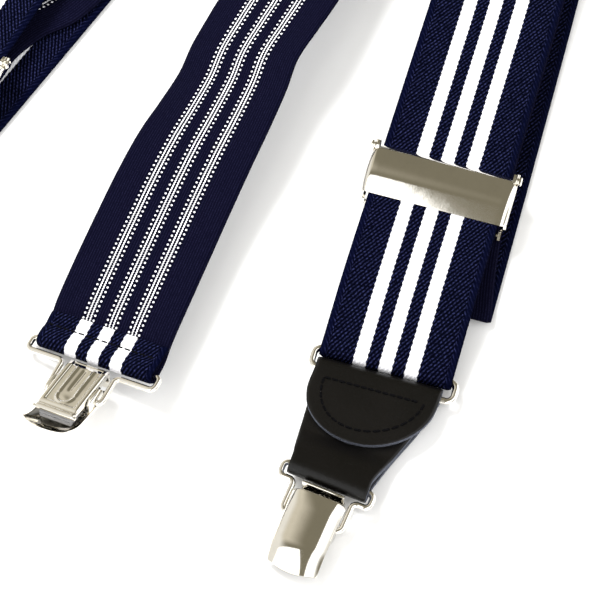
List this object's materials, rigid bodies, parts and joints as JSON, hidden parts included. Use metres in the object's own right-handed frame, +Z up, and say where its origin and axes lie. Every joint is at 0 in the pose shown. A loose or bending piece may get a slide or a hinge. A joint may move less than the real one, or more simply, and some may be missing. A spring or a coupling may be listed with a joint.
{
  "type": "suspenders",
  "caption": "Y-back suspenders of striped elastic webbing with leather tabs, wire rings, slide adjusters and sprung clips, laid flat in a zigzag fold.",
  "frame": {"origin": "middle of the underside of the yoke's back leather", "axes": "+Y from the clips towards the top of the yoke, along the back strap; +X to the right seen from above; +Z up, away from the surface it lies on"},
  "size_m": [0.1904, 0.4241, 0.0188],
  "materials": {
    "webbing": "navy twill elastic webbing with white stripes",
    "thread": "matt black sewing thread",
    "leather": "black smooth leather with raw dark grey edges",
    "nickel": "polished nickel plate on steel",
    "spring_steel": "drawn spring wire",
    "grip_plastic": "grey ribbed plastic"
  },
  "bodies": {
    "root": {"front_strap_right": "webbing", "front_strap_left": "webbing", "strap_return_right": "webbing", "strap_return_left": "webbing", "back_strap": "webbing", "back_hem_stitching": "thread", "yoke_front_leather": "leather", "yoke_back_leather": "leather", "yoke_stitching": "thread"},
    "adjuster_right": {"adjuster_frame_right": "nickel", "adjuster_pins_right": "nickel"},
    "adjuster_lid_right": {"adjuster_cover_right": "nickel"},
    "ring_right": {"strap_ring_right": "nickel"},
    "tab_right": {"leather_tab_right": "leather", "tab_stitching_right": "thread"},
    "bail_right": {"clip_bail_right": "nickel"},
    "clip_right": {"clip_plate_right": "nickel", "jaw_spring_right": "spring_steel"},
    "jaw_right": {"clip_jaw_right": "nickel", "grip_pad_right": "grip_plastic"},
    "adjuster_left": {"adjuster_frame_left": "nickel", "adjuster_pins_left": "nickel"},
    "adjuster_lid_left": {"adjuster_cover_left": "nickel"},
    "ring_left": {"strap_ring_left": "nickel"},
    "tab_left": {"leather_tab_left": "leather", "tab_stitching_left": "thread"},
    "bail_left": {"clip_bail_left": "nickel"},
    "clip_left": {"clip_plate_left": "nickel", "jaw_spring_left": "spring_steel"},
    "jaw_left": {"clip_jaw_left": "nickel", "grip_pad_left": "grip_plastic"},
    "bail_back": {"clip_bail_back": "nickel"},
    "clip_back": {"clip_plate_back": "nickel", "jaw_spring_back": "spring_steel"},
    "jaw_back": {"clip_jaw_back": "nickel", "grip_pad_back": "grip_plastic"}
  },
  "joints": [
    {"name": "adjuster_slide_right", "type": "slide", "parent": "root", "child": "adjuster_right", "axis": [-0.1392, 0.9903, 0], "range_m": [-0.02, 0.04], "deforming": ["strap_return_right"]},
    {"name": "adjuster_lid_hinge_right", "type": "hinge", "parent": "adjuster_right", "child": "adjuster_lid_right", "pos_m": [0.06171, -0.23199, 0.0102], "axis": [-0.9903, -0.1392, 0], "range_deg": [0, 100]},
    {"name": "ring_hinge_right", "type": "hinge", "parent": "root", "child": "ring_right", "pos_m": [0.06972, -0.28898, 0.0029], "axis": [-0.9903, -0.1392, 0], "range_deg": [-60, 75]},
    {"name": "tab_hinge_right", "type": "hinge", "parent": "ring_right", "child": "tab_right", "pos_m": [0.07048, -0.29442, 0.0029], "axis": [-0.9903, -0.1392, 0], "range_deg": [-60, 60]},
    {"name": "bail_hinge_right", "type": "hinge", "parent": "tab_right", "child": "bail_right", "pos_m": [0.06938, -0.32391, 0.00425], "axis": [-0.9997, -0.0262, 0], "range_deg": [-60, 60]},
    {"name": "clip_pivot_right", "type": "hinge", "parent": "bail_right", "child": "clip_right", "pos_m": [0.06969, -0.33609, 0.00361], "axis": [-0.9997, -0.0262, 0], "range_deg": [-60, 60]},
    {"name": "jaw_pivot_right", "type": "hinge", "parent": "clip_right", "child": "jaw_right", "pos_m": [0.06969, -0.33609, 0.00361], "axis": [0.9997, 0.0262, 0], "range_deg": [0, 22], "stiffness_Nm_per_rad": 0.1, "springref_deg": -28.65, "deforming": ["jaw_spring_right"]},
    {"name": "adjuster_slide_left", "type": "slide", "parent": "root", "child": "adjuster_left", "axis": [0.0593, 0.9982, 0], "range_m": [-0.02, 0.04], "deforming": ["strap_return_left"]},
    {"name": "adjuster_lid_hinge_left", "type": "hinge", "parent": "adjuster_left", "child": "adjuster_lid_left", "pos_m": [-0.07732, -0.25191, 0.0102], "axis": [-0.9982, 0.0593, 0], "range_deg": [0, 100]},
    {"name": "ring_hinge_left", "type": "hinge", "parent": "root", "child": "ring_left", "pos_m": [-0.08074, -0.30935, 0.0029], "axis": [-0.9982, 0.0593, 0], "range_deg": [-60, 75]},
    {"name": "tab_hinge_left", "type": "hinge", "parent": "ring_left", "child": "tab_left", "pos_m": [-0.08106, -0.31484, 0.0029], "axis": [-0.9982, 0.0593, 0], "range_deg": [-60, 60]},
    {"name": "bail_hinge_left", "type": "hinge", "parent": "tab_left", "child": "bail_left", "pos_m": [-0.07759, -0.34415, 0.00425], "axis": [-0.9985, -0.0541, 0], "range_deg": [-60, 60]},
    {"name": "clip_pivot_left", "type": "hinge", "parent": "bail_left", "child": "clip_left", "pos_m": [-0.07694, -0.35632, 0.00361], "axis": [-0.9985, -0.0541, 0], "range_deg": [-60, 60]},
    {"name": "jaw_pivot_left", "type": "hinge", "parent": "clip_left", "child": "jaw_left", "pos_m": [-0.07694, -0.35632, 0.00361], "axis": [0.9985, 0.0541, 0], "range_deg": [0, 22], "stiffness_Nm_per_rad": 0.1, "springref_deg": -28.65, "deforming": ["jaw_spring_left"]},
    {"name": "bail_hinge_back", "type": "hinge", "parent": "root", "child": "bail_back", "pos_m": [0.002, -0.3191, 0.0064], "axis": [-0.9742, 0.017, -0.225], "range_deg": [-60, 60]},
    {"name": "clip_pivot_back", "type": "hinge", "parent": "bail_back", "child": "clip_back", "pos_m": [0.00164, -0.33128, 0.00702], "axis": [-0.9742, 0.017, -0.225], "range_deg": [-60, 60]},
    {"name": "jaw_pivot_back", "type": "hinge", "parent": "clip_back", "child": "jaw_back", "pos_m": [0.00164, -0.33128, 0.00702], "axis": [-0.9742, 0.017, -0.225], "range_deg": [0, 22], "stiffness_Nm_per_rad": 0.1, "springref_deg": -28.65, "deforming": ["jaw_spring_back"]}
  ]
}
